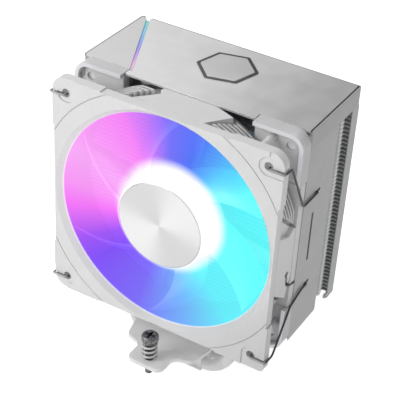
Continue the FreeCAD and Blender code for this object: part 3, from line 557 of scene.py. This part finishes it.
def brushed_plate(name="brushed_plate", level=0.84):
    """Anodised sheet brushed from left to right, with painted shade a little darker towards its right end."""
    s = coated(name, (level, level * 1.005, level, 1), 0.40, metal=0.6, drift=0.03,
               grain=1500, stretch=(0.03, 1, 1), depth=0.000004, edge=0.0002, edge_gain=0.3)
    across = s.split(s.node("TexCoord").outputs["Object"])[0]
    # Painted shade: darker towards the right end, away from the light.
    painted_shade = s.remap(across, 0.0, FIN_HALF_X, 0.0, 0.30)
    s.surface(Base_Color=s.mix(painted_shade, s.so_far("Base Color"), grey(0.05)))
    return s


# The brushed sheet on the sides, darker as painted shade for the shaded side of the tower.
def side_plate():
    return brushed_plate("side_plate", 0.74)


def along_strip(s):
    """0 at the rear end of the light strip and 1 at its front end."""
    low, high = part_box("light_strip")
    back_end = Vector((low.x, high.y, high.z))
    run = Vector((high.x, low.y, high.z)) - back_end
    dot = s.node("VectorMath", operation="DOT_PRODUCT")
    s.set(dot.inputs[0], s.node("TexCoord").outputs["Object"])
    s.set(dot.inputs[1], run.normalized())
    start = run.normalized().dot(back_end)
    return s.math("DIVIDE", s.math("SUBTRACT", dot.outputs["Value"], start), run.length)


def diffuser():
    """Milky strip whose light runs from teal to pink and fades at the front."""
    s = Shader("diffuser")
    share = along_strip(s)
    colour = s.ramp(share, [(p, linear(c)) for p, c in STRIP_GLOW])
    spots = s.noise(160, 2.0)
    fade = s.remap(share, 0.75, 1.0, 0.62, 0.5)
    s.surface(Base_Color=grey(0.25), Roughness=0.35, Emission_Color=colour,
              Emission_Strength=s.math("MULTIPLY", fade, s.remap(spots, 0.3, 0.7, 0.9, 1.1)),
              Normal=s.bump(s.noise(1500, 2.0), 0.00001))
    return s


def badge_dark():
    return coated("badge_dark", (0.12, 0.12, 0.125, 1), 0.3, metal=0.9, drift=0.15,
                  edge=0.0002, edge_gain=0.8)


def badge_bright():
    return coated("badge_bright", (0.72, 0.72, 0.73, 1), 0.36, metal=0.6, drift=0.02,
                  grain=1500, stretch=(0.03, 1, 1), depth=0.000003, edge=0.0002, edge_gain=0.3)


MAKERS = [frame_plastic, pad_silicone, glow_plastic, spun_metal, cup_steel, magnet, shaft_steel,
          bush_brass, core_steel, winding, board, led, label_foil, cable_sleeve, coated_fin,
          coated_pipe, contact_plate, block_paint, bar_paint, dark_steel, spring_steel,
          clip_wire, shell_plastic, brushed_plate, side_plate, diffuser, badge_dark,
          badge_bright]


# ---------------------------------------------------------------- pieces

def finish_nodes():
    """Give every CAD piece the material of its slot; return the materials by slot."""
    materials = {make.__name__: make().material for make in MAKERS}
    for part in frame["record"]["subparts"]:
        node = frame["nodes"][part["node"]]
        node.data.materials.clear()
        node.data.materials.append(materials[part["material_slot"]])
    return materials


def soften(node, width):
    """Round the sharp edges of a CAD piece."""
    weld = node.modifiers.new("weld", "WELD")
    weld.merge_threshold = 1e-6
    bevel = node.modifiers.new("bevel", "BEVEL")
    bevel.width = width
    bevel.segments = 2
    bevel.limit_method = "ANGLE"
    bevel.angle_limit = math.radians(40)
    bevel.harden_normals = True


def spring(end, material):
    """Coil between the crossbar and one screw's washer, fixed to the tower in place of the CAD spring."""
    bottom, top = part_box("crossbar")[1].z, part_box("spring_washer_" + end)[0].z
    y = joints[f"screw_{end}_turn"]["pos_m"][1]
    sides, steps = 10, 120
    low, high = bottom + SPRING_WIRE_R, top - SPRING_WIRE_R
    vertices, faces = [], []
    for k in range(steps + 1):
        share = k / steps
        turn = 2 * math.pi * SPRING_TURNS * share
        out = Vector((math.cos(turn), math.sin(turn), 0))
        middle = out * SPRING_R + Vector((0, y, low + (high - low) * share))
        for side in range(sides):
            around = 2 * math.pi * side / sides
            vertices.append(middle + SPRING_WIRE_R * (out * math.cos(around)
                                                      + Vector((0, 0, math.sin(around)))))
    for k in range(steps):
        for side in range(sides):
            a, b = k * sides + side, k * sides + (side + 1) % sides
            faces.append((a, b, b + sides, a + sides))
    faces.append(tuple(reversed(range(sides))))
    faces.append(tuple(steps * sides + side for side in range(sides)))
    mesh = bpy.data.meshes.new("coil_" + end)
    mesh.from_pydata(vertices, [], faces)
    mesh.shade_smooth()
    mesh.materials.append(material)
    coil = bpy.data.objects.new("coil_" + end, mesh)
    bpy.context.scene.collection.objects.link(coil)
    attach(coil, "tower")
    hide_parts("spring_" + end)
    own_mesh(coil)


# ---------------------------------------------------------------- light, floor and camera

def floor():
    """Pale floor that stays white for the camera."""
    corners = [(x * FLOOR_HALF, y * FLOOR_HALF, 0) for x, y in ((-1, -1), (1, -1), (1, 1), (-1, 1))]
    mesh = bpy.data.meshes.new("floor")
    mesh.from_pydata(corners, [], [(0, 1, 2, 3)])
    s = Shader("floor")
    s.surface(Base_Color=s.mix(s.noise(6, 3.0), grey(0.74), grey(0.78)), Roughness=0.7,
              Emission_Color=grey(1.0),
              Emission_Strength=s.math("MULTIPLY", s.for_camera(0.45), 0.7))
    mesh.materials.append(s.material)
    plane = bpy.data.objects.new("floor", mesh)
    bpy.context.scene.collection.objects.link(plane)
    plane.location.z = -FLOOR_GAP


def area_light(name, place, aim, size, power):
    light = bpy.data.lights.new(name, "AREA")
    light.shape = "DISK"
    light.size = size
    light.energy = power
    lamp = bpy.data.objects.new(name, light)
    lamp.location = place
    lamp.rotation_euler = (Vector(aim) - Vector(place)).to_track_quat("-Z", "Y").to_euler()
    bpy.context.scene.collection.objects.link(lamp)


def room():
    """White surroundings, darker towards the horizon except for the camera."""
    world = bpy.data.worlds.new("room")
    world.use_nodes = True
    tree = world.node_tree
    split = tree.nodes.new("ShaderNodeSeparateXYZ")
    tree.links.new(tree.nodes.new("ShaderNodeTexCoord").outputs["Generated"], split.inputs[0])
    ramp = tree.nodes.new("ShaderNodeValToRGB")
    ramp.color_ramp.elements[0].color = grey(0.45)
    ramp.color_ramp.elements[1].color = grey(0.95)
    tree.links.new(split.outputs["Z"], ramp.inputs["Fac"])
    tree.links.new(ramp.outputs["Color"], tree.nodes["Background"].inputs["Color"])
    tree.nodes["Background"].inputs["Strength"].default_value = 0.62
    white = tree.nodes.new("ShaderNodeBackground")
    white.inputs["Color"].default_value = grey(1.0)
    choice = tree.nodes.new("ShaderNodeMixShader")
    tree.links.new(tree.nodes.new("ShaderNodeLightPath").outputs["Is Camera Ray"],
                   choice.inputs["Fac"])
    tree.links.new(tree.nodes["Background"].outputs[0], choice.inputs[1])
    tree.links.new(white.outputs[0], choice.inputs[2])
    tree.links.new(choice.outputs[0], tree.nodes["World Output"].inputs["Surface"])
    bpy.context.scene.world = world


def studio():
    floor()
    room()
    area_light("key", place=(-0.40, -0.55, 0.50), aim=(0, 0, 0.09), size=0.5, power=2.5)
    area_light("top", place=(-0.35, 0.15, 1.05), aim=(0, 0, 0.15), size=0.9, power=1.4)
    area_light("sheen", place=(-0.30, 0.30, 0.42), aim=(-0.05, 0, 0.155), size=0.25, power=0.10)
    bpy.context.scene.view_settings.view_transform = "Standard"


def camera():
    across, up = math.radians(AZIMUTH), math.radians(ELEVATION)
    back = Vector((math.sin(across) * math.cos(up), -math.cos(across) * math.cos(up),
                   math.sin(up)))
    right = Vector((math.cos(across), math.sin(across), 0))
    above = back.cross(right)
    roll = math.radians(ROLL)
    tilted_right = right * math.cos(roll) + above * math.sin(roll)
    tilted_above = above * math.cos(roll) - right * math.sin(roll)
    lens = bpy.data.cameras.new("camera")
    lens.lens = LENS
    lens.sensor_width = 36
    lens.clip_start = 0.01
    eye = bpy.data.objects.new("camera", lens)
    turn = Matrix((tilted_right, tilted_above, back)).transposed().to_4x4()
    eye.matrix_world = Matrix.Translation(TARGET + back * DISTANCE) @ turn
    bpy.context.scene.collection.objects.link(eye)
    bpy.context.scene.camera = eye


# ---------------------------------------------------------------- scene

materials = finish_nodes()
for name, width in SOFTENED.items():
    soften(frame["nodes"][name], width)
for end in ("front", "rear"):
    spring(end, materials["spring_steel"])
studio()
camera()
